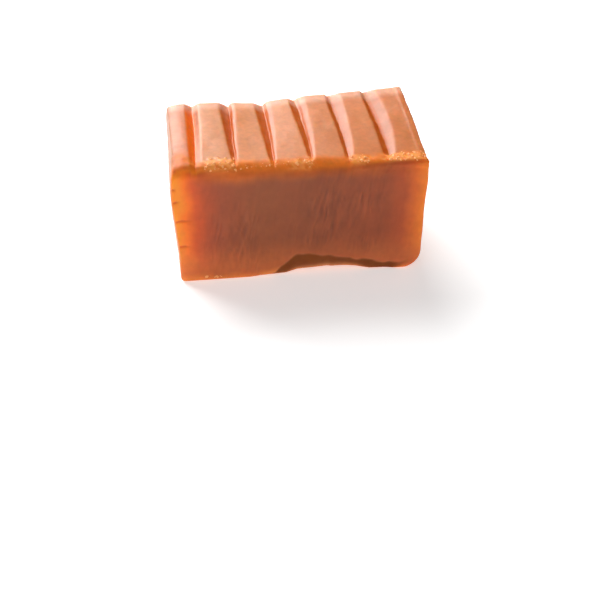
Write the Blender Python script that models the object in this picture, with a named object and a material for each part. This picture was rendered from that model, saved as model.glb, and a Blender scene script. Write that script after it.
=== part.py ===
"""Caramel candy: one block of soft caramel, cut across a slab that came off ribbed rollers.

The block lies on its flat base with its length along X. The two long upright faces, at -Y and +Y, are the
knife cuts; the two ends, at -X and +X, are the slab's own soft, bulging sides; the ribs run from cut to cut
across the top. The whole skin is one loft: rounded rectangular sections stand side by side along X, and
each end is closed by smaller and smaller copies of the last section.
"""

import bpy
import numpy as np

# Driving dimensions, in metres.
LENGTH = 0.0281
DEPTH = 0.0152
HEIGHT = 0.0153

# The top: how far its corners differ from HEIGHT, and the place where its back edge sags.
TOP_RISE_TO_BACK = 0.00038
TOP_TWIST = 0.00032
CORNER_LIFT = 0.00036
SAG_DROP = 0.00055
SAG_AT_X = -0.0037
SAG_SPREAD = 0.0035
SHOULDER_LENGTH = 0.0016
SHOULDER_DROP = 0.0003

# The plan is not quite square: the back cut is a little shorter and stands a little to the left.
BACK_SLANT = 0.00048
BACK_NARROWING = 0.012

# The ribs are what the grooves leave standing. Each groove has a bank falling from its left brink to the
# valley, a steep wall right of it and a gentler bank up to its right brink. One entry per groove, left to
# right, in millimetres, at the back cut and at the front cut; the bow is added half way between the cuts.
GROOVE_VALLEY_BACK = (-11.18, -6.80, -2.75, 1.02, 5.05, 9.30)
GROOVE_VALLEY_FRONT = (-11.80, -7.37, -3.18, 1.14, 5.22, 9.78)
GROOVE_VALLEY_BOW = (0.0, 0.0, 0.15, 0.28, 0.20, 0.26)
GROOVE_LEFT_BACK = (0.75, 1.28, 1.15, 0.75, 0.22, 0.22)
GROOVE_LEFT_FRONT = (0.42, 0.26, 0.32, 0.28, 0.25, 0.60)
GROOVE_LEFT_BOW = (0.20, 0.08, 0.18, 0.25, 0.25, 0.12)
GROOVE_RIGHT_BACK = (0.80, 0.76, 0.92, 1.20, 1.50, 1.35)
GROOVE_RIGHT_FRONT = (0.70, 0.32, 0.36, 0.30, 0.35, 0.45)
GROOVE_RIGHT_BOW = (0.0, 0.0, 0.05, -0.05, 0.15, 0.55)
GROOVE_DEPTH_BACK = (0.72, 0.98, 0.78, 0.62, 0.38, 0.34)
GROOVE_DEPTH_FRONT = (0.30, 0.20, 0.22, 0.20, 0.20, 0.26)
GROOVE_DEPTH_BOW = (0.05, 0.08, 0.10, 0.12, 0.26, 0.26)
WALL_SHARE_OF_DEPTH = (0.25, 0.85, 0.80, 0.60, 0.20, 0.12)
WALL_SHARE_OF_WIDTH = 0.45
MILLIMETRE = 0.001
GROOVE_FADE_BELOW = 0.0016
GROOVE_END_BEFORE = (-0.25, 0.0, 0.35, 1.10, 1.10, 1.20)
GROOVE_END_RUN = 0.0015
BACK_EDGE_REACH = 0.0022
BACK_EDGE_DEPTH_LOSS = 0.35

# Rounding of the four long edges, and the roll where the front cut's foot was pressed under.
EDGE_TOP_LEFT = 0.0012
EDGE_TOP_RIGHT = 0.0004
EDGE_SHARPENS_FROM_X = 0.0
EDGE_SHARP_AT_X = 0.0120
PRESSED_RADIUS = 0.0017
PRESSED_AT_X = -0.0005
PRESSED_SPREAD = 0.0075
EDGE_TOP_BACK = 0.0011
EDGE_BOTTOM_BACK = 0.0007
EDGE_BOTTOM_FRONT = 0.0003
ROLL_RADIUS = 0.0023
ROLL_AT_X = 0.0032
ROLL_SPREAD = 0.0052

# The ends: a soft bulge, a flare below the top edge, and a foot that is drawn in on the right.
EDGE_END = 0.00025
END_BULGE_LEFT = 0.0005
END_BULGE_RIGHT = 0.0005
BULGE_POWER = 2.0
END_FLARE = 0.0002
FLARE_AT = 0.85
FLARE_SPREAD = 0.14
FOOT_RADIUS_LEFT = 0.0005
FOOT_RADIUS_RIGHT = 0.0025
END_REACH = 0.0045

# How finely the loft is cut.
STEPS_PER_RIB = 4
STEPS_PER_FLANK = 2
STEPS_PER_WALL = 1
STEPS_PER_BANK = 2
STEPS_PER_END_EDGE = 3
STEPS_PER_CORNER = 4
POINTS_UP_BACK = 9
POINTS_OVER_TOP = 12
POINTS_DOWN_FRONT = 11
END_RINGS = (0.92, 0.75, 0.5, 0.25)
SMALLEST_RADIUS = 0.0001

CARAMEL_COLOUR = (0.52, 0.19, 0.065, 1.0)
CARAMEL_ROUGHNESS = 0.36


def smooth_step(low, high, value):
    """0 below low, 1 above high, and an S-curve between them."""
    t = np.clip((value - low) / (high - low), 0.0, 1.0)
    return t * t * (3.0 - 2.0 * t)


def bell(value, centre, spread):
    """1 at the centre, falling away smoothly over the spread."""
    return np.exp(-(((value - centre) / spread) ** 2))


def groove_size(y, at_back, at_front, bow):
    """One of a groove's sizes at depth y: straight from the front cut to the back cut, plus its bow."""
    back = np.clip(y / DEPTH + 0.5, 0.0, 1.0)
    return MILLIMETRE * (at_front + (at_back - at_front) * back + 4.0 * bow * back * (1.0 - back))


def groove_lines(y):
    """For each groove, the X of its left brink, its valley, the top of its wall and its right brink."""
    lines = []
    valleys = zip(GROOVE_VALLEY_BACK, GROOVE_VALLEY_FRONT, GROOVE_VALLEY_BOW)
    lefts = zip(GROOVE_LEFT_BACK, GROOVE_LEFT_FRONT, GROOVE_LEFT_BOW)
    rights = zip(GROOVE_RIGHT_BACK, GROOVE_RIGHT_FRONT, GROOVE_RIGHT_BOW)
    for valley_sizes, left_sizes, right_sizes in zip(valleys, lefts, rights):
        valley = groove_size(y, *valley_sizes)
        right = groove_size(y, *right_sizes)
        left_brink = valley - groove_size(y, *left_sizes)
        lines.append((left_brink, valley, valley + right * WALL_SHARE_OF_WIDTH, valley + right))
    return lines


def groove_depth(x, y):
    """Depth of the top below its ribs: down the left bank, up the steep wall, then up the right bank."""
    depth = np.zeros_like(x)
    depths = zip(GROOVE_DEPTH_BACK, GROOVE_DEPTH_FRONT, GROOVE_DEPTH_BOW)
    grooves = zip(groove_lines(y), depths, WALL_SHARE_OF_DEPTH, GROOVE_END_BEFORE)
    for lines, sizes, wall_share, before in grooves:
        left, valley, wall_top, right = lines
        down = np.clip((x - left) / (valley - left), 0.0, 1.0)
        wall = np.clip((x - valley) / (wall_top - valley), 0.0, 1.0)
        bank = np.clip((x - wall_top) / (right - wall_top), 0.0, 1.0)
        run_out = -DEPTH / 2.0 + before * MILLIMETRE - GROOVE_END_RUN / 2.0
        fading = smooth_step(run_out, run_out + GROOVE_END_RUN, y)
        depth += fading * groove_size(y, *sizes) * (down - wall_share * wall - (1.0 - wall_share) * bank)
    back_edge = smooth_step(DEPTH / 2.0 - BACK_EDGE_REACH, DEPTH / 2.0, y)
    return depth * (1.0 - BACK_EDGE_DEPTH_LOSS * back_edge)


def top_rise(x, y):
    """How far the top stands above HEIGHT: twist, rise to the back, right back corner, sag and shoulder."""
    across = 2.0 * x / LENGTH
    back = 2.0 * y / DEPTH
    sag = SAG_DROP * bell(x, SAG_AT_X, SAG_SPREAD) * (back + 1.0) / 2.0
    shoulder = SHOULDER_DROP * np.clip(1.0 - (x + LENGTH / 2.0) / SHOULDER_LENGTH, 0.0, 1.0) ** 2
    corner = CORNER_LIFT * np.clip(across, 0.0, 1.0) ** 2 * np.clip((back + 1.0) / 2.0, 0.0, 1.0)
    return TOP_RISE_TO_BACK * back + TOP_TWIST * across * back + corner - sag - shoulder


def end_shift(y, z, bulge, foot_radius):
    """How far an end face stands out from its flat place at (y, z)."""
    upright = np.clip(z / HEIGHT, 0.0, 1.0)
    belly = bulge * (1.0 - np.clip(2.0 * y / DEPTH, -1.0, 1.0) ** 2) * np.sin(np.pi * upright) ** BULGE_POWER
    flare = END_FLARE * bell(z, FLARE_AT * HEIGHT, FLARE_SPREAD * HEIGHT)
    below = np.clip(1.0 - z / foot_radius, 0.0, 1.0)
    foot = foot_radius * (1.0 - np.sqrt(1.0 - below**2))
    return belly + flare - foot


def stations(y):
    """X of each section at depth y: even steps over each rib and down each flank of each groove."""
    knots = [np.full_like(y, -LENGTH / 2.0 + EDGE_END)]
    for lines in groove_lines(y):
        knots += lines
    knots.append(np.full_like(y, LENGTH / 2.0 - EDGE_END))
    rows = []
    stretches = (STEPS_PER_RIB, STEPS_PER_FLANK, STEPS_PER_WALL, STEPS_PER_BANK)
    for index, (start, end) in enumerate(zip(knots[:-1], knots[1:])):
        steps = stretches[index % len(stretches)]
        rows += [start + (end - start) * step / steps for step in range(steps)]
    return rows + [knots[-1]]


def section(x, inset):
    """Y and Z round one rounded rectangle, from the base's back edge up, over the top and down the front."""
    half = DEPTH / 2.0 - inset
    low = inset
    high = HEIGHT - inset
    roll = EDGE_BOTTOM_FRONT + (ROLL_RADIUS - EDGE_BOTTOM_FRONT) * bell(x, ROLL_AT_X, ROLL_SPREAD)
    sharp = smooth_step(EDGE_SHARPENS_FROM_X, EDGE_SHARP_AT_X, x)
    plain = EDGE_TOP_LEFT + (EDGE_TOP_RIGHT - EDGE_TOP_LEFT) * sharp
    pressed = plain + (PRESSED_RADIUS - plain) * bell(x, PRESSED_AT_X, PRESSED_SPREAD)
    corners = (
        (half, low, EDGE_BOTTOM_BACK, -90.0, POINTS_UP_BACK),
        (half, high, EDGE_TOP_BACK, 0.0, POINTS_OVER_TOP),
        (-half, high, pressed, 90.0, POINTS_DOWN_FRONT),
        (-half, low, roll, 180.0, 0),
    )
    arcs = []
    for corner_y, corner_z, radius, first_angle, _ in corners:
        radius = max(radius - inset, SMALLEST_RADIUS)
        angles = np.radians(first_angle + np.linspace(0.0, 90.0, STEPS_PER_CORNER + 1))
        centre_y = corner_y - np.sign(corner_y) * radius
        centre_z = corner_z + (radius if corner_z == low else -radius)
        arcs.append(np.array([centre_y + radius * np.cos(angles), centre_z + radius * np.sin(angles)]))
    loop = []
    for index, arc in enumerate(arcs):
        loop.append(arc)
        straight = corners[index][4]
        following = arcs[(index + 1) % len(arcs)]
        share = np.arange(1, straight + 1) / (straight + 1.0)
        loop.append(arc[:, -1:] * (1.0 - share) + following[:, :1] * share)
    return np.concatenate(loop, axis=1)


def end_edge(side):
    """The rings that round an end's edge, from the end face inwards."""
    plane = side * (LENGTH / 2.0 - EDGE_END)
    rings = []
    for turn in np.radians(np.linspace(90.0, 0.0, STEPS_PER_END_EDGE, endpoint=False)):
        y, z = section(plane, EDGE_END * (1.0 - np.cos(turn)))
        rings.append((np.full_like(y, plane + side * EDGE_END * np.sin(turn)), y, z))
    return rings


def end_face(rim):
    """Copies of an end's rim, each smaller than the one before, down to a single point."""
    x, y, z = rim
    middle = HEIGHT / 2.0
    return [(x, y * share, middle + (z - middle) * share) for share in END_RINGS + (0.0,)]


def block_rings():
    """All the rings of the loft from left to right, as arrays of X, Y and Z before the skin is shaped."""
    body = []
    for index, middle_x in enumerate(stations(np.zeros(1))):
        y, z = section(middle_x[0], 0.0)
        body.append((stations(y)[index], y, z))
    left = end_edge(-1.0)
    right = end_edge(1.0)
    rings = end_face(left[0])[::-1] + left + body + right[::-1] + end_face(right[0])
    return [np.array(axis) for axis in zip(*rings)]


def shape_skin(x, y, z):
    """Pushes the plain loft out to the candy's own shape."""
    left = smooth_step(END_REACH, 0.0, x + LENGTH / 2.0)
    right = smooth_step(END_REACH, 0.0, LENGTH / 2.0 - x)
    shaped_x = x + right * end_shift(y, z, END_BULGE_RIGHT, FOOT_RADIUS_RIGHT)
    shaped_x -= left * end_shift(y, z, END_BULGE_LEFT, FOOT_RADIUS_LEFT)
    behind = y / DEPTH + 0.5
    shaped_x = shaped_x * (1.0 - BACK_NARROWING * behind) - BACK_SLANT * behind
    near_top = smooth_step(HEIGHT - GROOVE_FADE_BELOW, HEIGHT, z)
    shaped_z = z + top_rise(x, y) * z / HEIGHT - groove_depth(x, y) * near_top
    return shaped_x, y, shaped_z


def caramel_material():
    material = bpy.data.materials.new("caramel")
    material.use_nodes = True
    shader = material.node_tree.nodes["Principled BSDF"]
    shader.inputs["Base Color"].default_value = CARAMEL_COLOUR
    shader.inputs["Roughness"].default_value = CARAMEL_ROUGHNESS
    shader.inputs["Metallic"].default_value = 0.0
    return material


def build_caramel():
    x, y, z = shape_skin(*block_rings())
    points = np.stack([x, y, z], axis=-1)
    low = points.min(axis=(0, 1))
    high = points.max(axis=(0, 1))
    points -= ((low[0] + high[0]) / 2.0, (low[1] + high[1]) / 2.0, low[2])

    ring_count, ring_size = x.shape
    skin = points[1:-1].reshape(-1, 3).tolist()
    left_tip = len(skin)
    right_tip = left_tip + 1
    skin += [points[0, 0].tolist(), points[-1, 0].tolist()]

    faces = []
    last_ring = (ring_count - 3) * ring_size
    for step in range(ring_size):
        following = (step + 1) % ring_size
        for ring in range(ring_count - 3):
            here = ring * ring_size
            there = here + ring_size
            faces.append((here + step, here + following, there + following, there + step))
        faces.append((left_tip, following, step))
        faces.append((right_tip, last_ring + step, last_ring + following))

    mesh = bpy.data.meshes.new("caramel")
    mesh.from_pydata(skin, [], faces)
    mesh.validate()
    mesh.shade_smooth()
    mesh.set_sharp_from_angle(angle=np.radians(20.0))
    mesh.materials.append(caramel_material())
    caramel = bpy.data.objects.new("caramel", mesh)
    bpy.context.scene.collection.objects.link(caramel)
    return caramel


for old in list(bpy.data.objects):
    bpy.data.objects.remove(old, do_unlink=True)
build_caramel()
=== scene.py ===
import bmesh
import bpy
import numpy as np
from mathutils import Matrix, Vector
from mathutils.bvhtree import BVHTree


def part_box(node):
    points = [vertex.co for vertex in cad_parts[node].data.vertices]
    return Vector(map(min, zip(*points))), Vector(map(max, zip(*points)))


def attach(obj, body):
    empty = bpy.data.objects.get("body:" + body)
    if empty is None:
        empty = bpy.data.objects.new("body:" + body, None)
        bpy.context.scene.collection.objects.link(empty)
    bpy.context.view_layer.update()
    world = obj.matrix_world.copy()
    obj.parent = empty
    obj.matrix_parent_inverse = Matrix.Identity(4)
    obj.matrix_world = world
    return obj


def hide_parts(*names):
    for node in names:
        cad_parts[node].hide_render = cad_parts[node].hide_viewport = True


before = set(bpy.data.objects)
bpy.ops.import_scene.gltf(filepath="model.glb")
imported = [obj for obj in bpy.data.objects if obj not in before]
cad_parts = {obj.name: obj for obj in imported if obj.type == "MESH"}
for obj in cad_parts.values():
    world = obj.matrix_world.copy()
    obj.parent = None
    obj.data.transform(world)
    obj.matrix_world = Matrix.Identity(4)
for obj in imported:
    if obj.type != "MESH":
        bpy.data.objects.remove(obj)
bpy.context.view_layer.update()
blockLow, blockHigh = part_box("caramel")
blockDepth = blockHigh.y - blockLow.y
print("frame loaded")


# each kind of unevenness has its own seed
seeds = {
    "wander": 3,
    "sag": 5,
    "ripple": 7,
    "lip": 9,
    "drag": 11,
    "dragBend": 12,
    "under": 15,
    "endFlow": 21,
    "crumb": 31,
    "frontEdge": 41,
    "torn": 51,
}

# the candy, in metres: rings stand side by side along X, each a rounded rectangle in Y and Z
block = {
    "length": 0.0281,
    "depth": blockDepth,
    "height": 0.0153,
    "riseToBack": 0.00038,
    "slantBack": 0.00048,  # the back edge stands this far to the left, and is shorter by this share
    "narrowBack": 0.012,
    "shoulder": 0.0016,  # the top rounds down over this length at the left end, by this much
    "shoulderDrop": 0.00030,
    "twist": 0.00032,
    "cornerLift": 0.00036,  # the back right-hand corner of the top stands this much higher
    "sagDrop": 0.00055,
    "sagAt": -0.0037,
    "sagSpread": 0.0035,
    # radius of the top's front edge at the left end, at the right end, and where it is pressed over
    "edgeTopLeft": 0.0012,
    "edgeTopRight": 0.0004,
    "edgeTurnsSharp": (0.0, 0.0120),  # it sharpens from the first place to the second
    "pressedEdge": 0.0017,
    "pressedAt": -0.0005,
    "pressedSpread": 0.0075,
    "edgeTopBack": 0.0011,
    "edgeBottomBack": 0.0007,
    "edgeBottomFront": 0.0003,
    "rollRadius": 0.0023,
    "rollAt": 0.0032,
    "rollSpread": 0.0052,
    "edgeEnd": 0.00025,
    "smallestRadius": 0.0001,
    "lipRight": 0.00004,  # a low lip along the top's right-hand edge
    "lipFromEnd": 0.0006,
    "lipSpread": 0.00022,
    "bulgeLeft": 0.0005,
    "bulgeRight": 0.0005,
    "bulgePower": 2.0,
    "flare": 0.0002,  # the ends stand out a little under the top edge
    "flareAt": 0.85,
    "flareTall": 0.14,
    "pressedOut": 0.00048,  # the front cut's left edge, pushed outwards by the knife: how far, and where
    "pressedOutUp": 0.0108,
    "pressedOutTall": 0.0046,
    "pressedOutDeep": 0.0042,
    "footLeft": 0.0005,
    "footRight": 0.0025,
    "endReach": 0.0045,
    "toRight": 0.00030,  # brings the middle of the finished block over the origin
}

# ribs stand between grooves; each groove's valley, its bank on the left and on the right, and its depth are
# given in millimetres at the back cut and the front cut, with a bow between the two
grooves = {
    "valleyBack": (-11.18, -6.80, -2.75, 1.02, 5.05, 9.30),
    "valleyFront": (-11.80, -7.37, -3.18, 1.14, 5.22, 9.78),
    "valleyBow": (0.0, 0.0, 0.15, 0.28, 0.20, 0.26),
    "leftBack": (0.75, 1.28, 1.15, 0.75, 0.22, 0.22),
    "leftFront": (0.42, 0.26, 0.32, 0.28, 0.25, 0.60),
    "leftBow": (0.20, 0.08, 0.18, 0.25, 0.25, 0.12),
    "rightBack": (0.80, 0.76, 0.92, 1.20, 1.50, 1.35),
    "rightFront": (0.70, 0.32, 0.36, 0.30, 0.35, 0.45),
    "rightBow": (0.0, 0.0, 0.05, -0.05, 0.15, 0.55),
    "depthBack": (0.72, 0.98, 0.78, 0.62, 0.38, 0.34),
    "depthFront": (0.30, 0.20, 0.22, 0.20, 0.20, 0.26),
    "depthBow": (0.05, 0.08, 0.10, 0.12, 0.26, 0.26),
    # share of the depth climbed by the steep right-hand wall, and its share of the right-hand bank's width
    "wallHeight": (0.25, 0.85, 0.80, 0.60, 0.20, 0.12),
    "wallWidth": 0.45,
    "floorShare": 0.3,  # share of the wall's width left to the valley floor
    "ridge": 0.00008,  # a thin thread of caramel along the valley
    "ridgeWidth": 0.00006,
    "softness": 0.10,  # roundness of the corners on the left-hand bank, the wall and the right-hand bank
    "wallSoftness": 0.20,
    "bankSoftness": 0.25,
    "roundness": 1.35,  # above 1, the left-hand bank starts gently and steepens
    # down the sides the grooves fade out over this height, and their paint (painted shade on the flanks,
    # painted darkening on the banks) is full here
    "fadeBelow": 0.0016,
    "paintFull": 0.0004,
    "endBefore": (-0.25, 0.0, 0.35, 1.10, 1.10, 1.20),  # each runs out this far behind the front cut
    "runOut": (-0.0006, 0.0009),
    "backLoss": 0.35,  # share of the depth lost over the rounded back edge
    "backReach": 0.0022,
    "wander": 0.00006,
    "wanderSize": 0.0022,
    # where the painted shade of the flanks and the darkening of the banks start and stop, against the lines
    # of the groove
    "brinkPaint": (-0.00002, 0.00016),
    "wallPaint": 0.75,
    "pastWall": 0.00005,
    "bankPaint": (0.00015, -0.00025),
    "paintRunOut": (-0.0002, 0.0012),
}

mesh = {
    "steps": (21, 7, 4, 4),  # over a rib, down to the valley, up the wall, up to the next rib
    "endEdgeSteps": 8,
    "endFaceSteps": 22,
    "cornerSteps": 14,
    "upBack": 50,
    "overTop": 104,
    "downFront": 100,
    "underBase": 10,
    # down the sides, each groove's four lines drift to these places from its valley, between these depths
    "evenApart": (-0.0017, 0.0, 0.0006, 0.0013),
    "evenBelow": (0.0006, 0.004),
}


def smoothStep(low, high, value):  # 3t^2 - 2t^3 with t running 0 to 1 between low and high
    t = np.clip((value - low) / (high - low), 0.0, 1.0)
    return t * t * (3.0 - 2.0 * t)


def bell(value, centre, spread):  # e^-((value - centre) / spread)^2
    return np.exp(-(((value - centre) / spread) ** 2))


def cornerValue(ix, iy, iz, seed):  # a whole-number hash of a lattice corner, scaled to -1 .. 1
    mixed = ix * 374761393 + iy * 668265263 + iz * 974634777 + seed * 362437
    mixed = (mixed ^ (mixed >> 13)) * 1274126177 & 0x7FFFFFFF
    mixed = mixed ^ (mixed >> 16)
    return (mixed & 0xFFFF) / 32767.5 - 1.0


def lumps(x, y, z, size, seed, octaves=1):
    # smooth noise: the eight lattice corners round a point are blended with 3t^2 - 2t^3,
    # and each further octave halves both the size and the height
    total = np.zeros(np.broadcast(x, y, z).shape)
    for octave in range(octaves):
        cell = size / 2.0**octave
        px, py, pz = x / cell, y / cell, z / cell
        ix, iy, iz = (np.floor(p).astype(np.int64) for p in (px, py, pz))
        fx, fy, fz = (p - np.floor(p) for p in (px, py, pz))
        fx, fy, fz = (f * f * (3.0 - 2.0 * f) for f in (fx, fy, fz))
        value = 0.0
        for dx in (0, 1):
            for dy in (0, 1):
                for dz in (0, 1):
                    weight = (fx if dx else 1 - fx) * (fy if dy else 1 - fy) * (fz if dz else 1 - fz)
                    value = value + weight * cornerValue(ix + dx, iy + dy, iz + dz, seed + octave * 17)
        total = total + value / 2.0**octave
    return total


def softClip(t, softness):
    # (sqrt(t^2 + e^2) - sqrt((t - 1)^2 + e^2) + 1) / 2, a clip to 0..1 with round corners
    return (np.sqrt(t**2 + softness**2) - np.sqrt((t - 1.0) ** 2 + softness**2) + 1.0) / 2.0


def grooveSize(name, index, y):  # straight from the front cut to the back cut, plus the bow 4 t (1 - t)
    back = np.clip(y / block["depth"] + 0.5, 0.0, 1.0)
    atBack, atFront, bow = (grooves[name + end][index] for end in ("Back", "Front", "Bow"))
    return (atFront + (atBack - atFront) * back + 4.0 * bow * back * (1.0 - back)) / 1000.0


def grooveFacts(y):
    # for each groove at depth y: left brink, valley, top of the wall, right brink, depth, the wall's
    # share of it and how far y is behind the place where the groove runs out
    facts = []
    for index in range(len(grooves["valleyBack"])):
        names = ("valley", "left", "right", "depth")
        valley, left, right, depth = (grooveSize(name, index, y) for name in names)
        wallTop = valley + right * grooves["wallWidth"]
        wall = grooves["wallHeight"][index]
        fromEnd = y + block["depth"] / 2.0 - grooves["endBefore"][index] / 1000.0
        facts.append((valley - left, valley, wallTop, valley + right, depth, wall, fromEnd))
    return facts


def wander(x, y):  # the wavering of the groove lines
    return x + grooves["wander"] * lumps(x, y, 0 * x, grooves["wanderSize"], seeds["wander"], 3)


def grooveDepth(x, y):
    # depth = d (t0 - w t1 - (1 - w) t2): t0 climbs 0 to 1 from brink to valley, t1 over the wall, t2 over
    # the bank; the thread in the valley takes away a narrow bell
    depth = np.zeros_like(x)
    wandered = wander(x, y)
    for left, valley, wallTop, right, full, wall, fromEnd in grooveFacts(y):
        t0 = softClip((wandered - left) / (valley - left), grooves["softness"]) ** grooves["roundness"]
        start = valley + grooves["floorShare"] * (wallTop - valley)
        t1 = softClip((wandered - start) / (wallTop - start), grooves["wallSoftness"])
        t2 = softClip((wandered - wallTop) / (right - wallTop), grooves["bankSoftness"])
        thread = grooves["ridge"] * bell(wandered, valley - grooves["ridgeWidth"], grooves["ridgeWidth"])
        runOut = smoothStep(*grooves["runOut"], fromEnd)
        depth += (full * (t0 - wall * t1 - (1.0 - wall) * t2) - thread) * runOut
    backEdge = smoothStep(block["depth"] / 2.0 - grooves["backReach"], block["depth"] / 2.0, y)
    return depth * (1.0 - grooves["backLoss"] * backEdge)


def topRise(x, y):
    # twist x' y' + rise y' + corner - sag - shoulder + lip, with x' and y' running -1 to 1 over the block
    across = 2.0 * x / block["length"]
    back = 2.0 * y / block["depth"]
    sag = block["sagDrop"] * bell(x, block["sagAt"], block["sagSpread"]) * (back + 1.0) / 2.0
    nearLeft = np.clip(1.0 - (x + block["length"] / 2.0) / block["shoulder"], 0.0, 1.0)
    shoulder = block["shoulderDrop"] * nearLeft**2
    lip = block["lipRight"] * bell(x, block["length"] / 2.0 - block["lipFromEnd"], block["lipSpread"])
    corner = block["cornerLift"] * np.clip(across, 0.0, 1.0) ** 2 * np.clip((back + 1.0) / 2.0, 0.0, 1.0)
    slope = block["riseToBack"] * back + block["twist"] * across * back
    return slope + corner - sag - shoulder + lip


def endShift(y, z, bulge, foot):
    # a bulge (1 - y'^2) sin^p(pi z'), a flare under the top edge, and a quarter circle drawn in at the foot
    upright = np.clip(z / block["height"], 0.0, 1.0)
    belly = bulge * (1.0 - np.clip(2.0 * y / block["depth"], -1.0, 1.0) ** 2)
    belly = belly * np.sin(np.pi * upright) ** block["bulgePower"]
    flareAt, flareTall = block["flareAt"] * block["height"], block["flareTall"] * block["height"]
    flare = block["flare"] * bell(z, flareAt, flareTall)
    below = np.clip(1.0 - z / foot, 0.0, 1.0)
    return belly + flare - foot * (1.0 - np.sqrt(1.0 - below**2))


def sectionGrid(x, inset):
    # y and z round one rounded rectangle per row: up the back, over the top, down the front, under the base
    half = block["depth"] / 2.0 - inset
    low = inset
    high = block["height"] - inset
    roll = block["edgeBottomFront"]
    roll = roll + (block["rollRadius"] - roll) * bell(x, block["rollAt"], block["rollSpread"])
    sharp = smoothStep(*block["edgeTurnsSharp"], x)
    pressed = block["edgeTopLeft"] + (block["edgeTopRight"] - block["edgeTopLeft"]) * sharp
    over = bell(x, block["pressedAt"], block["pressedSpread"])
    pressed = pressed + (block["pressedEdge"] - pressed) * over
    corners = (
        (half, low, 1.0, 1.0, block["edgeBottomBack"], -90.0, mesh["upBack"]),
        (half, high, 1.0, -1.0, block["edgeTopBack"], 0.0, mesh["overTop"]),
        (half, high, -1.0, -1.0, pressed, 90.0, mesh["downFront"]),
        (half, low, -1.0, 1.0, roll, 180.0, mesh["underBase"]),
    )
    arcs = []
    for out, level, side, up, radius, firstAngle, _ in corners:
        radius = np.maximum(radius - inset, block["smallestRadius"])[:, None]
        angle = np.radians(firstAngle + np.linspace(0.0, 90.0, mesh["cornerSteps"] + 1))[None, :]
        centreY = side * (out[:, None] - radius)
        centreZ = level[:, None] + up * radius
        arcs.append((centreY + radius * np.cos(angle), centreZ + radius * np.sin(angle)))
    columnsY, columnsZ = [], []
    for index, (arcY, arcZ) in enumerate(arcs):
        steps = corners[index][6]
        share = np.arange(1, steps + 1) / (steps + 1.0)
        nextY, nextZ = arcs[(index + 1) % 4]
        columnsY += [arcY, arcY[:, -1:] * (1 - share) + nextY[:, :1] * share]
        columnsZ += [arcZ, arcZ[:, -1:] * (1 - share) + nextZ[:, :1] * share]
    return np.hstack(columnsY), np.hstack(columnsZ)


def stationGrid():
    # x of every ring: even steps between knots, which are the block's ends and each groove's four lines;
    # further down the sides the knots drift apart, to spread the rings evenly
    halfInner = block["length"] / 2.0 - block["edgeEnd"]

    def knotsAt(y, evenness):
        knots = [np.full_like(y, -halfInner)]
        for facts in grooveFacts(y):
            for line, apart in zip(facts[:4], mesh["evenApart"]):
                knots.append(line + (facts[1] + apart - line) * evenness)
        knots.append(np.full_like(y, halfInner))
        return np.stack(knots)

    knotCount = 4 * len(grooves["valleyBack"]) + 2
    knot, share = [], []
    for index in range(knotCount - 1):
        steps = mesh["steps"][index % 4]
        knot += [index] * steps
        share += [step / steps for step in range(steps)]
    knot, share = np.array(knot + [knotCount - 2]), np.array(share + [1.0])
    plain = knotsAt(np.array([0.0]), 0.0)[:, 0]
    middleX = plain[knot] * (1.0 - share) + plain[knot + 1] * share
    y, z = sectionGrid(middleX, np.zeros_like(middleX))
    start, full = mesh["evenBelow"]
    evenness = smoothStep(block["height"] - start, block["height"] - full, z)
    knots = knotsAt(y, evenness)
    rows = np.arange(len(knot))
    start, end, share = knots[knot, rows], knots[knot + 1, rows], share[:, None]
    return start * (1.0 - share) + end * share, y, z


def endEdgeGrid(side):  # x = plane + r sin t and inset r (1 - cos t), t from 90 degrees down to the body
    plane = side * (block["length"] / 2.0 - block["edgeEnd"])
    turn = np.radians(np.linspace(90.0, 0.0, mesh["endEdgeSteps"], endpoint=False))
    y, z = sectionGrid(np.full_like(turn, plane), block["edgeEnd"] * (1.0 - np.cos(turn)))
    return plane + side * block["edgeEnd"] * np.sin(turn)[:, None] + 0 * y, y, z


def endFaceGrid(rim):  # copies of the rim, each nearer to the middle of the end face
    x, y, z = (axis[:1] for axis in rim)
    share = (1.0 - np.arange(1, mesh["endFaceSteps"] + 1) / (mesh["endFaceSteps"] + 1.0))[:, None]
    middle = block["height"] / 2.0
    return x + 0 * share, y * share, middle + (z - middle) * share


def plainBlock():  # the rings in a row: left face, left edge, body, right edge, right face
    body = stationGrid()
    left, right = endEdgeGrid(-1.0), endEdgeGrid(1.0)
    leftFace, rightFace = endFaceGrid(left), endFaceGrid(right)
    parts = []
    for axis in range(3):
        grids = [leftFace[axis][::-1], left[axis], body[axis], right[axis][::-1], rightFace[axis]]
        parts.append(np.vstack(grids))
    return parts


def shapeSkin(x, y, z):
    # x goes out by each end's shift and the knife's push, then narrows and slants towards the back;
    # z gains the top's rise times z / height and loses the depth of the grooves near the top
    left = smoothStep(block["endReach"], 0.0, x + block["length"] / 2.0)
    right = smoothStep(block["endReach"], 0.0, block["length"] / 2.0 - x)
    newX = x + right * endShift(y, z, block["bulgeRight"], block["footRight"])
    newX = newX - left * endShift(y, z, block["bulgeLeft"], block["footLeft"])
    atCut = smoothStep(-block["depth"] / 2.0 + block["pressedOutDeep"], -block["depth"] / 2.0, y)
    upright = bell(z, block["pressedOutUp"], block["pressedOutTall"])
    newX = newX - left * atCut * block["pressedOut"] * upright
    behind = y / block["depth"] + 0.5
    newX = newX * (1.0 - block["narrowBack"] * behind) - block["slantBack"] * behind
    nearTop = smoothStep(block["height"] - grooves["fadeBelow"], block["height"], z)
    newZ = z + topRise(x, y) * z / block["height"] - grooveDepth(x, y) * nearTop
    return newX, y, newZ


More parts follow.
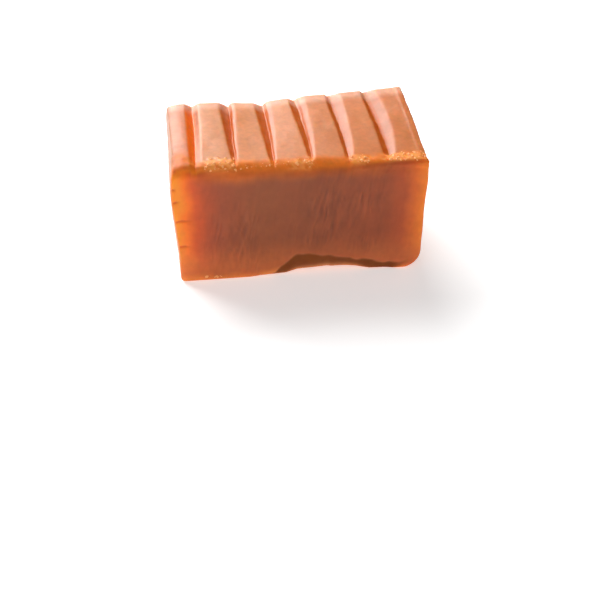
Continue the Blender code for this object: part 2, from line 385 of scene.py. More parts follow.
def closedGridMesh(name, x, y, z):
    # rows are rings, columns go round; the first and last rings are closed by a fan to their middle point
    rings, size = x.shape
    points = np.stack([x, y, z], axis=-1).reshape(-1, 3)
    tips = np.array([points[:size].mean(axis=0), points[-size:].mean(axis=0)])
    points = np.vstack([points, tips])
    ring, step = np.meshgrid(np.arange(rings - 1), np.arange(size), indexing="ij")
    here, following = ring * size + step, ring * size + (step + 1) % size
    quads = np.stack([here, following, following + size, here + size], axis=-1).reshape(-1, 4)
    step = np.arange(size)
    following = (step + 1) % size
    first = np.stack([np.full(size, rings * size), following, step], axis=-1)
    lastRow = (rings - 1) * size
    last = np.stack([np.full(size, rings * size + 1), lastRow + step, lastRow + following], axis=-1)
    shape = bpy.data.meshes.new(name)
    shape.from_pydata(points.tolist(), [], quads.tolist() + first.tolist() + last.tolist())
    shape.shade_smooth()
    piece = bpy.data.objects.new(name, shape)
    bpy.context.scene.collection.objects.link(piece)
    return piece


relief = {  # heights and sizes of the small unevenness, in metres
    "sag": 0.00007,
    "sagSize": 0.0050,
    "ripple": 0.000014,
    "rippleSize": 0.0011,
    "drag": 0.00007,
    "dragWidth": 0.00026,
    "dragLength": 0.0017,
    "dragLean": 0.16,
    "dragElsewhere": 0.15,
    "dragBend": 0.0002,
    "dragBendSize": 0.0016,
    "lip": 0.00007,
    "lipSize": 0.0011,
    "flow": 0.00002,
    "flowSpacing": 0.0021,
    "creaseDepth": 0.00009,
    "creaseWidth": 0.00015,
    "creaseWave": 0.00008,
    "creaseWaveSize": 0.00035,
    "creaseTaper": 0.35,  # share of its length after which a crease fades
    "creaseStart": 0.0002,
    "clearOfFloor": 0.0008,
}

# creases at the left edge of the front cut: height, length, slope
creases = (
    (0.01265, 0.0007, -0.25),
    (0.0108, 0.0010, 0.30),
    (0.0083, 0.0023, 0.16),
    (0.0049, 0.0017, 0.08),
)

# where the knife stuck and dragged: across, up, and how far it spreads each way
dragPatches = (
    (-0.0070, 0.0055, 0.0026, 0.0040),
    (0.0056, 0.0098, 0.0036, 0.0034),
    (0.0028, 0.0085, 0.0020, 0.0030),
    (0.0075, 0.0040, 0.0014, 0.0010),
    (0.0010, 0.0050, 0.0012, 0.0012),
)

# the foot of the front cut, turned under by the knife: where it starts, is highest and ends, and its height
# at both, in metres
under = {
    "start": -0.0042,
    "full": -0.0004,
    "end": 0.0112,
    "high": 0.0031,
    "low": 0.0013,
    "ragged": 0.00034,
    "raggedSize": 0.0016,
    "step": 0.00016,  # how far it stands back
    "soft": (0.00020, -0.00040),  # it fades in from above its line to below it, and at both ends
    "startSoft": 0.0014,
    "endSoft": (0.0024, -0.0004),
}

# the rings and the shallow fold on each end, where the slab's edge rolled over
endFold = {
    "middle": 0.45,  # height of the middle, as a share of the block's
    "squash": 1.15,
    "bend": 0.0011,
    "bendSize": 0.0045,
    "depth": 0.00028,
    "width": 0.0005,
    "slope": 0.25,
    "wave": 0.0006,
    "waveSize": 0.0017,
    "at": 0.0008,
    "length": 0.0042,
    "clearOfFloor": 0.002,
}

# where each kind of surface starts and is full, as distances inwards from the block's planes
skin = {
    "cutFace": (0.0005, 0.00005),
    "cutEnds": (-0.0001, 0.0002),
    "endFace": (0.0005, 0.0001),
    "top": (0.0006, 0.0001),
    # how far back the front edge is pressed over, and how much further at the left corner
    "pressed": 0.0021,
    "pressedMore": 0.0034,
    "corner": (0.0034, 0.0006),
    "ragged": 0.22,
    "raggedSize": 0.0013,
    "pressedAbove": (0.85, 0.93),  # in shares of the height
}


def dragMarks(x, z):  # noise drawn out along a leaning line, strongest where the knife stuck
    patch = relief["dragElsewhere"]
    for across, up, wide, tall in dragPatches:
        patch = patch + bell(x, across, wide) * bell(z, up, tall)
    bend = relief["dragBend"] * lumps(x, z, 0 * x, relief["dragBendSize"], seeds["dragBend"])
    leaning = x - relief["dragLean"] * z + bend
    across, along = leaning / relief["dragWidth"], z / relief["dragLength"]
    marks = lumps(across, along, 0 * x, 1.0, seeds["drag"], 2)
    return np.clip(patch, 0.0, 1.0) * marks


def edgeCreases(x, z):  # a narrow bell across each short line, fading out along it
    fromEdge = x + block["length"] / 2.0
    depth = 0.0
    for up, long, slope in creases:
        wave = relief["creaseWave"] * np.sin(fromEdge / relief["creaseWaveSize"])
        away = z - up - slope * fromEdge - wave
        along = smoothStep(long, relief["creaseTaper"] * long, fromEdge)
        along = along * smoothStep(-relief["creaseStart"], relief["creaseStart"], fromEdge)
        depth = depth + along * bell(away, 0.0, relief["creaseWidth"])
    return -relief["creaseDepth"] * depth


def endFlow(y, z):
    # rings sin(2 pi far / spacing) round a middle, bent by noise, less a bell across one wavy fold
    middle = endFold["middle"] * block["height"]
    far = np.hypot(y * endFold["squash"], z - middle)
    far = far + endFold["bend"] * lumps(y, z, 0 * y, endFold["bendSize"], seeds["endFlow"], 2)
    rings = np.sin(far / relief["flowSpacing"] * 2.0 * np.pi)
    wave = endFold["wave"] * np.sin(y / endFold["waveSize"])
    fold = bell(z - middle - endFold["slope"] * y - wave, 0.0, endFold["width"])
    fold = fold * bell(y, endFold["at"], endFold["length"])
    return (relief["flow"] * rings - endFold["depth"] * fold) * smoothStep(0.0, endFold["clearOfFloor"], z)


def outwards(x, y, z):
    # unit normals of the grid: the cross product of its steps round each ring and from ring to ring
    points = np.stack([x, y, z], axis=-1)
    along = np.gradient(points, axis=0)
    around = np.roll(points, -1, axis=1) - np.roll(points, 1, axis=1)
    normal = np.cross(around, along)
    length = np.maximum(np.linalg.norm(normal, axis=-1, keepdims=True), 1e-12)
    return np.moveaxis(normal / length, -1, 0)


def addField(piece, name, values):  # one number per point; the two closing points take their ring's average
    layer = piece.data.attributes.new(name, "FLOAT", "POINT")
    tips = [values[0].mean(), values[-1].mean()]
    layer.data.foreach_set("value", np.concatenate([values.ravel(), tips]).astype(np.float32))


def inwards(name, plane, value):  # 0 to 1 between the two distances inwards from the plane
    start, full = skin[name]
    return smoothStep(plane - start, plane - full, value)


def skinFields(x, y, z):
    # 0 to 1 over the plain block: the cut faces, the ends, the top, and the pressed front edge, which is
    # full at half its reach
    half, halfLength, height = block["depth"] / 2.0, block["length"] / 2.0, block["height"]
    fields = {"cutFace": inwards("cutFace", half, abs(y)) * inwards("cutEnds", halfLength, abs(x))}
    fields["endFace"] = inwards("endFace", halfLength, abs(x))
    fields["top"] = inwards("top", height, z)
    start, full = skin["corner"]
    reach = skin["pressed"] + skin["pressedMore"] * smoothStep(-halfLength + start, -halfLength + full, x)
    reach = reach * (1.0 + skin["ragged"] * lumps(x, y, z, skin["raggedSize"], seeds["frontEdge"], 2))
    pressed = smoothStep(-half + reach, -half + 0.5 * reach, y)
    fields["frontEdge"] = pressed * smoothStep(*skin["pressedAbove"], z / height)
    return fields


def grooveFields(x, y):
    # flank: 1 on the bank falling right into each valley and on the wall beyond, where shade is painted;
    # bank: 1 on the rest, which is painted darker against the key light
    flank, bank = np.zeros_like(x), np.zeros_like(x)
    wandered = wander(x, y)
    brinkStart, brinkFull = grooves["brinkPaint"]
    bankEnd, bankFull = grooves["bankPaint"]
    for left, valley, wallTop, right, _, _, fromEnd in grooveFacts(y):
        runOut = smoothStep(*grooves["paintRunOut"], fromEnd)
        down = smoothStep(left + brinkStart, left + brinkFull, wandered)
        onWall = valley + grooves["wallPaint"] * (wallTop - valley)
        up = smoothStep(wallTop + grooves["pastWall"], onWall, wandered)
        flank = np.maximum(flank, down * up * runOut)
        rising = smoothStep(valley, wallTop, wandered)
        rising = rising * smoothStep(right + bankEnd, right + bankFull, wandered)
        bank = np.maximum(bank, rising * runOut)
    return {"flank": flank, "bank": bank}


torn = {
    # smears of torn caramel along the front edge: from, to, how far behind the cut they reach
    "smears": (
        (-0.0110, -0.0073, 0.0030),
        (-0.0016, 0.0014, 0.0017),
        (0.0054, 0.0074, 0.0020),
        (0.0094, 0.0141, 0.0023),
    ),
    "soft": 0.0007,
    "below": (0.0012, 0.0006),
    "grain": 0.00042,
    "stretch": 1.6,
    "threshold": (-0.35, 0.45),
    "follow": 1.1,  # how much the noise is helped towards the middle of a smear
    "level": 0.55,
    "height": 0.00009,
}


def tornField(x, y, z):
    # inside a smear, 1 where noise + follow (smear - level) passes the threshold; 0 outside it
    field = np.zeros_like(x)
    half = block["depth"] / 2.0
    for start, end, reach in torn["smears"]:
        inside = smoothStep(start - torn["soft"], start + torn["soft"], x)
        inside = inside * smoothStep(end + torn["soft"], end - torn["soft"], x)
        inside = inside * smoothStep(-half + reach, -half + 0.5 * reach, y)
        field = np.maximum(field, inside)
    start, full = torn["below"]
    field = field * smoothStep(block["height"] - start, block["height"] - full, z)
    noise = lumps(x, y * torn["stretch"], z * torn["stretch"], torn["grain"], seeds["torn"], 3)
    return field * smoothStep(*torn["threshold"], noise + torn["follow"] * (field - torn["level"]))


def underLine(x):
    # height up to which the front face is turned under: a quick rise, a slow straight fall, and noise
    rise = smoothStep(under["start"], under["full"], x) * under["high"]
    share = np.clip((x - under["full"]) / (under["end"] - under["full"]), 0.0, 1.0)
    ragged = under["ragged"] * lumps(x, 0 * x, 0 * x, under["raggedSize"], seeds["under"], 2)
    return rise - share * (under["high"] - under["low"]) + ragged


def underField(x, y, z, line):
    # 1 below the line, between the start and the end of the turned-under stretch
    above, below = under["soft"]
    past, before = under["endSoft"]
    field = smoothStep(line + above, line + below, z) * (y < 0)
    field = field * smoothStep(under["start"], under["start"] + under["startSoft"], x)
    return field * smoothStep(under["end"] + past, under["end"] + before, x)


def makeBlock():
    # the shaped skin, with everything that stands out from it added up and carried along its normals
    plainX, plainY, plainZ = plainBlock()
    x, y, z = shapeSkin(plainX, plainY, plainZ)
    fields = skinFields(plainX, plainY, plainZ)
    front = fields["cutFace"] * (plainY < 0)
    back = fields["cutFace"] * (plainY > 0)
    drag = front * dragMarks(x, z) + back * dragMarks(-x, z)
    crease = front * edgeCreases(plainX, z)
    fields["torn"] = tornField(plainX, plainY, plainZ)
    fields["turnedUnder"] = underField(plainX, plainY, plainZ, underLine(plainX))
    raised = relief["sag"] * lumps(x, y, z, relief["sagSize"], seeds["sag"], 2)
    raised = raised + relief["ripple"] * lumps(x, y, z, relief["rippleSize"], seeds["ripple"], 2)
    raised = raised + relief["drag"] * drag + crease
    raised = raised + torn["height"] * fields["torn"]
    raised = raised + fields["endFace"] * endFlow(y, z)
    lip = relief["lip"] * lumps(x, y, z, relief["lipSize"], seeds["lip"], 2)
    raised = raised + fields["frontEdge"] * lip
    raised = raised - under["step"] * fields["turnedUnder"] * fields["cutFace"]
    raised = raised * smoothStep(0.0, relief["clearOfFloor"], z)
    normalX, normalY, normalZ = outwards(x, y, z)
    x, y, z = x + raised * normalX, y + raised * normalY, z + raised * normalZ
    piece = closedGridMesh("caramelBlock", x + block["toRight"], y, z - z.min())
    paintFull = block["height"] - grooves["paintFull"]
    nearTop = smoothStep(block["height"] - grooves["fadeBelow"], paintFull, plainZ)
    for name, values in grooveFields(plainX, plainY).items():
        fields[name] = values * nearTop
    fields["cutFace"] = fields["cutFace"] * (1.0 - fields["flank"])
    fields["drag"] = 0.5 + 0.5 * np.clip(drag, -1.0, 1.0)
    fields["crease"] = np.clip(-crease / relief["creaseDepth"], 0.0, 1.0)
    fields["behind"] = back
    for name, values in fields.items():
        addField(piece, name, values)
    return piece


caramelBlock = makeBlock()
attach(caramelBlock, "root")
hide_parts("caramel")
print("block made:", len(caramelBlock.data.polygons), "faces")


class Wire:
    # a node socket that can be added, multiplied and so on, like a number
    def __init__(self, tree, socket):
        self.tree = tree
        self.socket = socket

    def node(self, kind, settings, values, output=0):
        made = self.tree.nodes.new(kind)
        for key, setting in settings.items():
            if key == "stops":
                ramp = made.color_ramp
                ramp.elements.remove(ramp.elements[1])
                ramp.elements[0].position, ramp.elements[0].color = setting[0]
                for position, colour in setting[1:]:
                    ramp.elements.new(position).color = colour
            else:
                setattr(made, key, setting)
        for key, value in values.items():
            if isinstance(value, Wire):
                self.tree.links.new(value.socket, made.inputs[key])
            else:
                made.inputs[key].default_value = value
        return Wire(self.tree, made.outputs[output])

    def maths(self, operation, first, second=0.0):
        return self.node("ShaderNodeMath", {"operation": operation}, {0: first, 1: second})

    def __add__(self, other):
        return self.maths("ADD", self, other)

    __radd__ = __add__

    def __sub__(self, other):
        return self.maths("SUBTRACT", self, other)

    def __rsub__(self, other):
        return self.maths("SUBTRACT", other, self)

    def __mul__(self, other):
        return self.maths("MULTIPLY", self, other)

    __rmul__ = __mul__

    def between(self, low, high):  # 0 below low, 1 above high, smooth between
        return self.node(
            "ShaderNodeMapRange",
            {"interpolation_type": "SMOOTHSTEP"},
            {"Value": self, "From Min": low, "From Max": high},
        )

    def mix(self, first, second):  # this value chooses between two colours
        return self.node(
            "ShaderNodeMix",
            {"data_type": "RGBA"},
            {"Factor": self, 6: first, 7: second},
            2,
        )


caramelFinish = {
    "skinSheenLeft": (0.71, 0.272, 0.108, 1.0),  # the rolled, ribbed skin, from the left end to the right: lighter and pinker at the left, a painted sheen where the key light falls
    "skinRight": (0.66, 0.200, 0.056, 1.0),
    "skinEnd": (0.66, 0.180, 0.052, 1.0),  # the last rib on the left
    "torn": (1.0, 0.370, 0.080, 1.0),  # smears of torn caramel
    "flankGlowLeft": (1.0, 0.165, 0.003, 1.0),  # the left-hand banks of the grooves, painted shade on slopes turned from the key light, with a painted glow of light coming through near the left end
    "flank": (0.62, 0.118, 0.003, 1.0),
    # the right-hand banks, painted darker to hold down the key light that falls full on them
    "bank": (0.56, 0.165, 0.056, 1.0),
    # the left end, painted darker to hold down the key light that falls full on it
    "leftEndShade": (0.43, 0.175, 0.078, 1.0),
    # a painted sheen along the rounded back edge of the top, where it catches the key light
    "backSheen": (0.86, 0.46, 0.30, 1.0),
    "frontEdge": (0.86, 0.205, 0.003, 1.0),  # where the knife pressed the skin over
    "frontCornerDimmed": (0.76, 0.165, 0.002, 1.0),  # the same on the left, painted darker where more of the key light reaches it
    # below that corner, out of the key light, a painted glow of light coming through the left end
    "cornerGlowBelow": (1.0, 0.300, 0.006, 1.0),
    "turnedUnder": (0.25, 0.056, 0.002, 1.0),  # the rolled foot: a deeper brown, and darker still from shade painted under it
    # creases, painted darker as the shade in them
    "crease": (0.66, 0.100, 0.001, 1.0),
    "skinRoughness": 0.40,
    "cutRoughness": 0.45,
    "shine": 0.34,
    "scatter": 0.5,
    "scatterRadius": (1.0, 0.30, 0.08),
    "scatterScale": 0.0014,
    "cutSpan": 0.014,
    "glowFromLeft": (  # colour of a cut face from its left edge inwards, in shares of the span: a painted glow of light coming through the thin edge, fading to a painted dark core
        (0.0, (1.0, 0.290, 0.014, 1.0)),
        (0.07, (1.0, 0.190, 0.006, 1.0)),
        (0.14, (0.72, 0.098, 0.010, 1.0)),
        (0.22, (0.50, 0.078, 0.016, 1.0)),
        (0.33, (0.375, 0.074, 0.021, 1.0)),
        (0.66, (0.325, 0.080, 0.022, 1.0)),
        (1.0, (0.325, 0.076, 0.022, 1.0)),
    ),
    # the same from the right edge: painted glow fading to a painted dark core
    "glowFromRight": (
        (0.0, (0.95, 0.240, 0.012, 1.0)),
        (0.09, (0.72, 0.138, 0.012, 1.0)),
        (0.18, (0.48, 0.080, 0.014, 1.0)),
        (0.34, (0.345, 0.068, 0.017, 1.0)),
        (1.0, (0.305, 0.072, 0.021, 1.0)),
    ),
    # a painted glow of light coming through near the top of the cut faces
    "nearTop": (0.80, 0.165, 0.009, 1.0),
    # painted light near the foot of the cut faces, making up for the floor's shade there
    "nearFootGlow": (0.70, 0.164, 0.036, 1.0),
    # and a brighter painted glow right at the foot
    "footEdgeGlow": (0.95, 0.300, 0.05, 1.0),
    # the back cut, painted darker to hold down the key light that falls full on it
    "behind": (0.235, 0.088, 0.036, 1.0),
    # how strongly each paint covers what is under it
    "cover": {
        "nearTop": 0.8,
        "nearFootGlow": 0.85,
        "footEdgeGlow": 0.8,
        "behind": 0.85,
        "crease": 0.9,
        "backSheen": 0.8,
        "leftEndShade": 0.8,
        "frontEdge": 0.9,
        "lessOnEnd": 0.7,
        "besideCut": 0.8,
        "torn": 0.75,
    },
    # where a paint starts and is full, in metres from the middle, across
    "ends": (-0.002, 0.002),
    "lastRib": (-0.0112, -0.0122),
    "flankLeftAt": (-0.0080, -0.0130),
    "leftEndAt": (-0.0100, -0.0130),
    "frontCornerAt": (-0.0090, -0.0125),
    # and in metres inwards from the left and right ends, the top, the foot, the back cut and the front cut
    "nearTopLeft": (0.0008, 0.0050),
    "nearTopRight": (0.0, 0.01105),
    "nearTopDown": (0.0027, 0.0004),
    "nearFootUp": (0.0062, 0.0),
    "footEdgeUp": (0.0011, 0.0),
    "backRimIn": (0.0027, 0.0013),
    "besideCutIn": (0.0026, 0.0004),
    "drift": 0.0020,  # wandering of those limits, and its share at the back and the front cut
    "driftSize": 0.004,
    "driftAtBack": 0.3,
    "driftAtCut": 0.5,
    # light and dark patches: fine, weaker on the cut faces, then broad ones, then the knife's drag marks
    "mottle": 0.40,
    "mottleSize": 0.0006,
    "lessOnCut": 0.24,
    "patches": 0.28,
    "patchSize": 0.0021,
    "dragPaint": 0.34,
    "roughPatches": 0.16,
    "roughSize": 0.0009,
    "roughEdge": 0.16,
    "roughUnder": 0.30,
    "pitSize": 0.00035,
    "pitDepth": 0.000024,
    "pitStrength": 0.3,
}


def caramelMaterial():
    # paints mixed one over another by fields and distances inwards, times light and dark patches; many of
    # the paints are painted glow, sheen and shade
    finish = caramelFinish
    material = bpy.data.materials.new("softCaramel")
    material.use_nodes = True
    tree = material.node_tree
    shader = tree.nodes["Principled BSDF"]
    start = Wire(tree, None)
    place = start.node("ShaderNodeTexCoord", {}, {}, "Object")
    x, y, z = (start.node("ShaderNodeSeparateXYZ", {}, {"Vector": place}, axis) for axis in "XYZ")

    def field(name):
        return start.node("ShaderNodeAttribute", {"attribute_name": name}, {}, "Fac")

    def noise(size, detail=2.0):  # -0.5 .. 0.5
        settings = {"noise_dimensions": "3D"}
        values = {"Vector": place, "Scale": 1.0 / size, "Detail": detail}
        return start.node("ShaderNodeTexNoise", settings, values, "Fac") - 0.5

    def ramp(factor, stops):
        return start.node("ShaderNodeValToRGB", {"stops": stops}, {"Fac": factor}, "Color")

    cover = finish["cover"]
    x = x - block["toRight"]
    inFromLeft, inFromRight = x + block["length"] / 2.0, block["length"] / 2.0 - x
    drift = noise(finish["driftSize"]) * finish["drift"]
    up = z + drift

    # the cut faces, from the ends inwards (a painted glow at the edges, a painted dark core), then the top
    # and the foot (painted glow), the back cut (painted darker against the key light) and the marks, with
    # painted shade on the turned-under foot and in the creases
    glowFromLeft = ramp((inFromLeft + drift) * (1.0 / finish["cutSpan"]), finish["glowFromLeft"])
    glowFromRight = ramp((inFromRight + drift) * (1.0 / finish["cutSpan"]), finish["glowFromRight"])
    cutColour = x.between(*finish["ends"]).mix(glowFromLeft, glowFromRight)
    nearTop = (block["height"] - up).between(*finish["nearTopDown"])
    nearTop = nearTop * inFromLeft.between(*finish["nearTopLeft"])
    nearTop = nearTop * inFromRight.between(*finish["nearTopRight"])
    cutColour = (nearTop * cover["nearTop"]).mix(cutColour, finish["nearTop"])
    nearFootGlow = up.between(*finish["nearFootUp"]) * cover["nearFootGlow"]
    cutColour = nearFootGlow.mix(cutColour, finish["nearFootGlow"])
    footEdgeGlow = up.between(*finish["footEdgeUp"]) * cover["footEdgeGlow"]
    cutColour = footEdgeGlow.mix(cutColour, finish["footEdgeGlow"])
    cutColour = (field("behind") * cover["behind"]).mix(cutColour, finish["behind"])
    cutColour = field("turnedUnder").mix(cutColour, finish["turnedUnder"])
    cutColour = (field("crease") * cover["crease"]).mix(cutColour, finish["crease"])

    # the skin, with a painted sheen towards the left, the grooves' banks (painted shade on the left-hand
    # ones, painted darkening on the right-hand ones), the back rim's painted sheen, the left end painted
    # darker against the key light, the pressed front edge with a painted glow and a darker copy at its left
    # corner, and the smears
    skinShare = inFromLeft.between(0.0, block["length"])
    skinColour = skinShare.mix(finish["skinSheenLeft"], finish["skinRight"])
    skinColour = x.between(*finish["lastRib"]).mix(skinColour, finish["skinEnd"])
    skinColour = field("bank").mix(skinColour, finish["bank"])
    flankColour = x.between(*finish["flankLeftAt"]).mix(finish["flank"], finish["flankGlowLeft"])
    skinColour = field("flank").mix(skinColour, flankColour)
    inFromBack = block["depth"] / 2.0 - y - drift * finish["driftAtBack"]
    backSheen = inFromBack.between(*finish["backRimIn"]) * field("top")
    skinColour = (backSheen * cover["backSheen"]).mix(skinColour, finish["backSheen"])
    leftEndShade = field("endFace") * x.between(*finish["leftEndAt"])
    skinColour = (leftEndShade * cover["leftEndShade"]).mix(skinColour, finish["leftEndShade"])
    # at the left corner: a painted glow where it is out of the key light, a darker copy where the light
    # reaches it
    cornerColour = (field("top") + field("endFace")).mix(finish["cornerGlowBelow"], finish["frontCornerDimmed"])
    edgeColour = x.between(*finish["frontCornerAt"]).mix(finish["frontEdge"], cornerColour)
    covered = cover["frontEdge"] - field("endFace") * cover["lessOnEnd"]
    skinColour = (field("frontEdge") * covered).mix(skinColour, edgeColour)
    inFromCut = y + block["depth"] / 2.0 + drift * finish["driftAtCut"]
    # on the ends beside the front cut, the darker copy painted against the key light
    besideCut = inFromCut.between(*finish["besideCutIn"]) * field("endFace")
    skinColour = (besideCut * cover["besideCut"]).mix(skinColour, finish["frontCornerDimmed"])
    skinColour = (field("torn") * cover["torn"]).mix(skinColour, finish["torn"])

    colour = field("cutFace").mix(skinColour, cutColour)
    fine = noise(finish["mottleSize"], 3.0) * (finish["mottle"] - field("cutFace") * finish["lessOnCut"])
    mottle = fine + noise(finish["patchSize"]) * finish["patches"]
    mottle = mottle + (field("drag") - 0.5) * finish["dragPaint"] + 1.0
    colour = start.node("ShaderNodeVectorMath", {"operation": "SCALE"}, {0: colour, "Scale": mottle})
    tree.links.new(colour.socket, shader.inputs["Base Color"])
    rougher = finish["cutRoughness"] - finish["skinRoughness"]
    roughness = field("cutFace") * rougher + finish["skinRoughness"]
    roughness = roughness + field("frontEdge") * finish["roughEdge"]
    roughness = roughness + field("turnedUnder") * finish["roughUnder"]
    roughness = roughness + noise(finish["roughSize"]) * finish["roughPatches"]
    tree.links.new(roughness.socket, shader.inputs["Roughness"])
    pitted = {"Strength": finish["pitStrength"], "Distance": finish["pitDepth"]}
    pitted["Height"] = noise(finish["pitSize"])
    pits = start.node("ShaderNodeBump", {}, pitted, "Normal")
    tree.links.new(pits.socket, shader.inputs["Normal"])
    shader.inputs["Specular IOR Level"].default_value = finish["shine"]
    shader.inputs["Subsurface Weight"].default_value = finish["scatter"]
    shader.inputs["Subsurface Radius"].default_value = finish["scatterRadius"]
    shader.inputs["Subsurface Scale"].default_value = finish["scatterScale"]
    return material


caramelBlock.data.materials.append(caramelMaterial())


# crumbs left by the knife, in groups along the front edge, in metres: from and to along the edge, how far
# behind the cut and how far down it they lie, their size, and how many there are
crumbGroups = (
    (-0.0110, -0.0073, 0.0026, 0.0004, 0.00013, 46),
    (-0.0070, -0.0050, 0.0010, 0.0002, 0.00010, 8),
    (-0.0046, -0.0012, 0.0012, 0.0000, 0.00010, 12),
    (-0.0014, 0.0014, 0.0016, 0.0003, 0.00012, 20),
    (0.0054, 0.0074, 0.0017, 0.0002, 0.00013, 20),
    (0.0094, 0.0140, 0.0018, 0.0002, 0.00013, 52),
    (-0.0130, 0.0136, 0.0014, 0.0001, 0.00008, 18),
)

crumbLook = {
    "seed": 4,
    "ball": 2,  # times each crumb's starting shape is split
    "shape": (1.1, 0.9, 0.45),  # length, width and thickness against a crumb's size
    "smallest": 0.3,  # the finest and the coarsest crumb, against the size of their group
    "coarsest": 1.5,
    "bumpiness": 0.55,
    "grain": 0.8,  # size of a crumb's bumps against the crumb
    "sunk": -0.1,
    "way": (0.0, 0.6, -0.8),  # along this line, from this far away, a crumb comes to rest on the edge
    "footWay": (0.0, 1.0, 0.0),
    "wayLength": 0.004,
    "shifts": 50.0,  # each crumb takes its bumps from another place
    "footCount": 9,
    "footFrom": -0.0112,
    "footTo": -0.0088,
    "footUp": (0.0004, 0.0006),
    "footSize": 0.00018,
    "colour": (1.0, 0.41, 0.130, 1.0),
    "glow": 0.12,  # light that has come through the crumbs
    "roughness": 0.5,
    "patchScale": 1800.0,
    "patches": 0.5,
}


def ballShape():  # points and triangles of a small ball with its middle at the origin
    shape = bmesh.new()
    bmesh.ops.create_icosphere(shape, subdivisions=crumbLook["ball"], radius=1.0)
    points = np.array([list(v.co) for v in shape.verts])
    faces = np.array([[v.index for v in f.verts] for f in shape.faces])
    shape.free()
    return points, faces


def makeCrumbs():
    # a ray to a random spot beside the cut finds where each crumb lies; its shape is a ball times
    # 1 + bumpiness times noise, flattened and turned at random about the surface's normal
    random = np.random.default_rng(crumbLook["seed"])
    depsgraph = bpy.context.evaluated_depsgraph_get()
    surface = BVHTree.FromObject(caramelBlock, depsgraph)
    halfDepth, height = block["depth"] / 2.0, block["height"]
    spots = []
    for first, last, behind, below, size, count in crumbGroups:
        for _ in range(count):
            x = random.uniform(first, last)
            slide = random.triangular(-below, 0.0, behind)
            aim = Vector((x + block["toRight"], -halfDepth + slide, height + min(slide, 0.0)))
            spots.append((aim, Vector(crumbLook["way"]), size))
    for _ in range(crumbLook["footCount"]):
        x = random.uniform(crumbLook["footFrom"], crumbLook["footTo"])
        aim = Vector((x + block["toRight"], -halfDepth, random.uniform(*crumbLook["footUp"])))
        spots.append((aim, Vector(crumbLook["footWay"]), crumbLook["footSize"]))
    ball, faces = ballShape()
    points, triangles = [], []
    for aim, way, size in spots:
        hit, normal, _, _ = surface.ray_cast(aim - way * crumbLook["wayLength"], way)
        if hit is None:
            continue
        share = random.random() ** 2
        scale = size * (crumbLook["smallest"] * (1.0 - share) + crumbLook["coarsest"] * share)
        scale = scale * np.array(crumbLook["shape"])
        shift = random.uniform(0.0, crumbLook["shifts"], 3)
        bumps = lumps(*(ball + shift).T, crumbLook["grain"], seeds["crumb"], 3)
        bumps = 1.0 + crumbLook["bumpiness"] * bumps
        turn = Matrix.Rotation(random.uniform(0.0, np.pi), 3, "Z")
        upright = normal.to_track_quat("Z", "X").to_matrix()
        local = ball * bumps[:, None] * scale
        place = np.array(hit) + np.array(normal) * scale[2] * crumbLook["sunk"]
        points.append(local @ np.array(upright @ turn).T + place)
        triangles.append(faces + len(ball) * len(triangles))
    shape = bpy.data.meshes.new("cutCrumbs")
    shape.from_pydata(np.vstack(points).tolist(), [], np.vstack(triangles).tolist())
    shape.shade_smooth()
    piece = bpy.data.objects.new("cutCrumbs", shape)
    bpy.context.scene.collection.objects.link(piece)
    return piece


def crumbMaterial():  # one colour times 1 + patches times noise, with a little of it as glow
    material = bpy.data.materials.new("paleCrumb")
    material.use_nodes = True
    tree = material.node_tree
    shader = tree.nodes["Principled BSDF"]
    start = Wire(tree, None)
    place = start.node("ShaderNodeTexCoord", {}, {}, "Object")
    values = {"Vector": place, "Scale": crumbLook["patchScale"]}
    patch = start.node("ShaderNodeTexNoise", {}, values, "Fac") - 0.5
    values = {0: crumbLook["colour"][:3], "Scale": patch * crumbLook["patches"] + 1.0}
    colour = start.node("ShaderNodeVectorMath", {"operation": "SCALE"}, values)
    tree.links.new(colour.socket, shader.inputs["Base Color"])
    tree.links.new(colour.socket, shader.inputs["Emission Color"])
    shader.inputs["Emission Strength"].default_value = crumbLook["glow"]
    shader.inputs["Roughness"].default_value = crumbLook["roughness"]
    return material


cutCrumbs = makeCrumbs()
cutCrumbs.data.materials.append(crumbMaterial())
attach(cutCrumbs, "root")
print("crumbs made:", len(cutCrumbs.data.polygons), "faces")


studio = {
    "floorSize": 2.4,
    "floorColour": (0.9, 0.9, 0.9, 1.0),
    "floorRoughness": 0.6,
    "glowNear": (0.45, 0.45, 0.45, 1.0),  # the floor's own light, near the candy and far away
    "glowFar": (1.0, 1.0, 1.0, 1.0),
    "glowReach": (0.10, 0.40),
    "roomColour": (1.0, 1.0, 1.0, 1.0),
    "backdropStrength": 1.0,
    "worldLow": 0.03,  # light from the walls, from straight above and from the front
    "worldAbove": 0.16,
    "worldFront": 0.50,
    "worldFull": 0.9,  # the last two are full where a direction points this much up or forwards
}


def makeFloor():  # a flat square whose own light grows with the distance from the candy
    half = studio["floorSize"] / 2.0
    shape = bpy.data.meshes.new("floor")
    corners = [(-half, -half, 0), (half, -half, 0), (half, half, 0), (-half, half, 0)]
    shape.from_pydata(corners, [], [(0, 1, 2, 3)])
    material = bpy.data.materials.new("paleFloor")
    material.use_nodes = True
    shader = material.node_tree.nodes["Principled BSDF"]
    shader.inputs["Base Color"].default_value = studio["floorColour"]
    shader.inputs["Roughness"].default_value = studio["floorRoughness"]
    start = Wire(material.node_tree, None)
    place = start.node("ShaderNodeTexCoord", {}, {}, "Object")
    away = start.node("ShaderNodeVectorMath", {"operation": "LENGTH"}, {0: place}, "Value")
    glow = away.between(*studio["glowReach"]).mix(studio["glowNear"], studio["glowFar"])
    material.node_tree.links.new(glow.socket, shader.inputs["Emission Color"])
    shader.inputs["Emission Strength"].default_value = 1.0
    shape.materials.append(material)
    floor = bpy.data.objects.new("floor", shape)
    bpy.context.scene.collection.objects.link(floor)


lights = {
    # direction the light stands in (degrees from +Y towards -X, and up), distance, side, radiance
    "keyBackLeft": {"turn": 28.0, "up": 36.0, "away": 0.5, "side": 0.42, "radiance": 8.0},
}


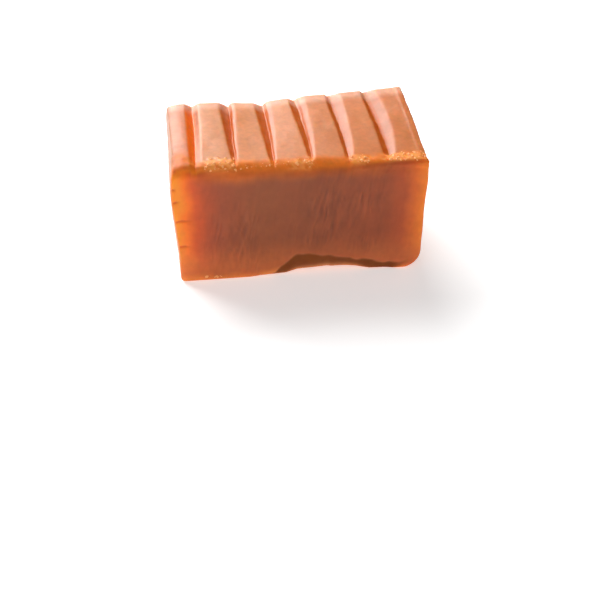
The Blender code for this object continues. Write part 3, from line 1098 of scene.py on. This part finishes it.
def makeLight(name, facts):  # a square lamp turned to the origin; its power is radiance times area times pi
    turn, up = np.radians(facts["turn"]), np.radians(facts["up"])
    towards = Vector((-np.sin(turn) * np.cos(up), np.cos(turn) * np.cos(up), np.sin(up)))
    lamp = bpy.data.lights.new(name, "AREA")
    lamp.shape = "SQUARE"
    lamp.size = facts["side"]
    lamp.energy = facts["radiance"] * facts["side"] ** 2 * np.pi
    holder = bpy.data.objects.new(name, lamp)
    holder.location = towards * facts["away"]
    holder.rotation_euler = towards.to_track_quat("Z", "Y").to_euler()
    bpy.context.scene.collection.objects.link(holder)


def makeWorld():  # low + above times up + front times towards the front; the camera sees the plain backdrop
    world = bpy.data.worlds.new("softRoom")
    world.use_nodes = True
    tree = world.node_tree
    background = tree.nodes["Background"]
    background.inputs["Color"].default_value = studio["roomColour"]
    start = Wire(tree, None)
    towards = start.node("ShaderNodeTexCoord", {}, {}, "Generated")
    side, up = (start.node("ShaderNodeSeparateXYZ", {}, {"Vector": towards}, axis) for axis in "YZ")
    seen = start.node("ShaderNodeLightPath", {}, {}, "Is Camera Ray")
    room = up.between(0.0, studio["worldFull"]) * studio["worldAbove"] + studio["worldLow"]
    room = room + side.between(0.0, -studio["worldFull"]) * studio["worldFront"]
    strength = seen * studio["backdropStrength"] + (1.0 - seen) * room
    tree.links.new(strength.socket, background.inputs["Strength"])
    bpy.context.scene.world = world


camera = {
    "place": (-0.01466, -0.12002, 0.08424),
    "aim": (-0.00155, -0.01342, 0.0),
    "roll": 0.46,
    "lens": 70.8,
    "sensor": 36.0,
    "nearest": 0.005,
    "farthest": 10.0,
}


def makeCamera():  # stands at its place, looks at the aim, and is rolled about that line
    lensData = bpy.data.cameras.new("camera")
    lensData.lens = camera["lens"]
    lensData.sensor_width = camera["sensor"]
    lensData.clip_start = camera["nearest"]
    lensData.clip_end = camera["farthest"]
    holder = bpy.data.objects.new("camera", lensData)
    sideways = Vector((block["toRight"], 0.0, 0.0))
    place = Vector(camera["place"]) + sideways
    look = Vector(camera["aim"]) + sideways - place
    roll = Matrix.Rotation(np.radians(camera["roll"]), 3, "Z")
    turned = look.to_track_quat("-Z", "Y").to_matrix() @ roll
    holder.matrix_world = Matrix.Translation(place) @ turned.to_4x4()
    bpy.context.scene.collection.objects.link(holder)
    bpy.context.scene.camera = holder


makeFloor()
makeWorld()
for lightName, lightFacts in lights.items():
    makeLight(lightName, lightFacts)
makeCamera()
bpy.context.scene.view_settings.view_transform = "Standard"
print("stage set")
